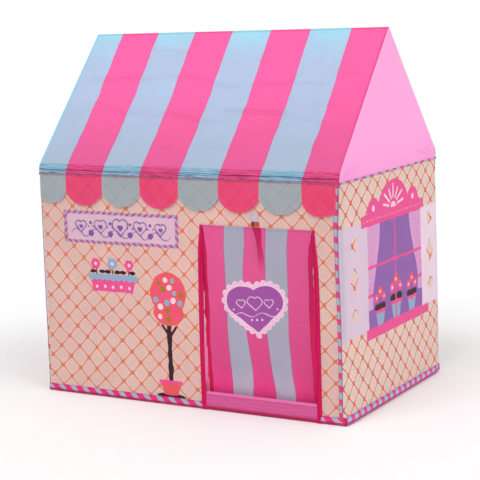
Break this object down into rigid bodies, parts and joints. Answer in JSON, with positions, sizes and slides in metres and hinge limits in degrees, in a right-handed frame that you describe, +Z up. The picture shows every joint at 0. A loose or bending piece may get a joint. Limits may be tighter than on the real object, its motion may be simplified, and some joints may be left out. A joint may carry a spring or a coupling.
{
  "type": "kids play tent",
  "caption": "House-shaped play tent: striped gabled roof with scalloped valances, lattice-print walls and a roll-up door flap over a push-fit pole frame.",
  "frame": {"origin": "middle of the tent's footprint, on the floor that it stands on", "axes": "+Z up, +X along the ridge to the right when facing the door, +Y from the front wall with the door to the back wall"},
  "size_m": [0.9522, 0.6552, 1.02],
  "materials": {
    "pole": "white extruded plastic tube",
    "socket": "pale grey moulded plastic",
    "roof_stripes": "coated polyester printed in wide pink and pale blue stripes",
    "valance_stripes": "thin polyester printed in deep pink and grey blue",
    "gable": "plain light pink coated polyester",
    "wall_print": "polyester printed with an orange diamond lattice on peach",
    "candy_tape": "woven tape with slanted magenta and pale blue stripes",
    "binding": "dark magenta edge binding, stitched",
    "threshold": "pink satin-like polyester, stitched hem",
    "flap_stripes": "thin polyester printed in deep pink and grey stripes",
    "patch": "lilac grey patch, stitched round"
  },
  "bodies": {
    "tent": {"base_corner_front_left": "socket", "base_corner_front_right": "socket", "base_corner_back_left": "socket", "base_corner_back_right": "socket", "eave_corner_front_left": "socket", "eave_corner_front_right": "socket", "eave_corner_back_left": "socket", "eave_corner_back_right": "socket", "ridge_corner_left": "socket", "ridge_corner_right": "socket", "base_pole_front": "pole", "base_pole_back": "pole", "base_pole_left": "pole", "base_pole_right": "pole", "corner_post_front_left": "pole", "corner_post_front_right": "pole", "corner_post_back_left": "pole", "corner_post_back_right": "pole", "eave_pole_front": "pole", "eave_pole_back": "pole", "eave_pole_left": "pole", "eave_pole_right": "pole", "rafter_front_left": "pole", "rafter_front_right": "pole", "rafter_back_left": "pole", "rafter_back_right": "pole", "ridge_pole": "pole", "front_wall": "wall_print", "back_wall": "wall_print", "left_wall": "wall_print", "right_wall": "wall_print", "left_gable": "gable", "right_gable": "gable", "front_roof": "roof_stripes", "back_roof": "roof_stripes", "base_sleeve_front_left": "candy_tape", "base_sleeve_front_right": "candy_tape", "base_sleeve_back": "candy_tape", "base_sleeve_left": "candy_tape", "base_sleeve_right": "candy_tape", "door_threshold": "threshold", "corner_tape_front_left": "candy_tape", "corner_tape_front_right": "candy_tape", "corner_tape_back_left": "candy_tape", "corner_tape_back_right": "candy_tape", "gable_piping_left": "candy_tape", "gable_piping_right": "candy_tape", "door_binding_left": "binding", "door_binding_right": "binding", "door_tie_patch": "patch"},
    "flap_top": {"door_flap_1": "flap_stripes"},
    "flap_roll_1": {"door_flap_2": "flap_stripes"},
    "flap_roll_2": {"door_flap_3": "flap_stripes"},
    "flap_roll_3": {"door_flap_4": "flap_stripes"},
    "flap_roll_4": {"door_flap_5": "flap_stripes"},
    "flap_roll_5": {"door_flap_6": "flap_stripes"},
    "tie_strap": {"door_tie_strap": "binding"},
    "valance_front": {"front_valance": "valance_stripes"},
    "valance_back": {"back_valance": "valance_stripes"}
  },
  "joints": [
    {"name": "door_swing", "type": "hinge", "parent": "tent", "child": "flap_top", "pos_m": [0.22825, -0.3238, 0.5147], "axis": [1, 0, 0], "range_deg": [0, 60]},
    {"name": "door_roll", "type": "hinge", "parent": "flap_top", "child": "flap_roll_1", "pos_m": [0.22825, -0.31767, 0.3997], "axis": [1, 0, 0], "range_deg": [0, 50]},
    {"name": "door_roll_2", "type": "hinge", "parent": "flap_roll_1", "child": "flap_roll_2", "pos_m": [0.22825, -0.31354, 0.32216], "axis": [1, 0, 0], "range_deg": [0, 50]},
    {"name": "door_roll_3", "type": "hinge", "parent": "flap_roll_2", "child": "flap_roll_3", "pos_m": [0.22825, -0.3094, 0.24462], "axis": [1, 0, 0], "range_deg": [0, 50]},
    {"name": "door_roll_4", "type": "hinge", "parent": "flap_roll_3", "child": "flap_roll_4", "pos_m": [0.22825, -0.30527, 0.16708], "axis": [1, 0, 0], "range_deg": [0, 50]},
    {"name": "door_roll_5", "type": "hinge", "parent": "flap_roll_4", "child": "flap_roll_5", "pos_m": [0.22825, -0.30114, 0.08954], "axis": [1, 0, 0], "range_deg": [0, 50]},
    {"name": "tie_swing", "type": "hinge", "parent": "tent", "child": "tie_strap", "pos_m": [0.22525, -0.3235, 0.547], "axis": [1, 0, 0], "range_deg": [0, 60]},
    {"name": "front_valance_lift", "type": "hinge", "parent": "tent", "child": "valance_front", "pos_m": [0, -0.3276, 0.6377], "axis": [-1, 0, 0], "range_deg": [0, 120]},
    {"name": "back_valance_lift", "type": "hinge", "parent": "tent", "child": "valance_back", "pos_m": [0, 0.3276, 0.6377], "axis": [1, 0, 0], "range_deg": [0, 120]}
  ],
  "couplings": [
    {"joint": "door_roll_2", "follows": "door_roll", "ratio": 1},
    {"joint": "door_roll_3", "follows": "door_roll", "ratio": 1},
    {"joint": "door_roll_4", "follows": "door_roll", "ratio": 1},
    {"joint": "door_roll_5", "follows": "door_roll", "ratio": 1},
    {"joint": "tie_swing", "follows": "door_swing", "ratio": 1}
  ]
}
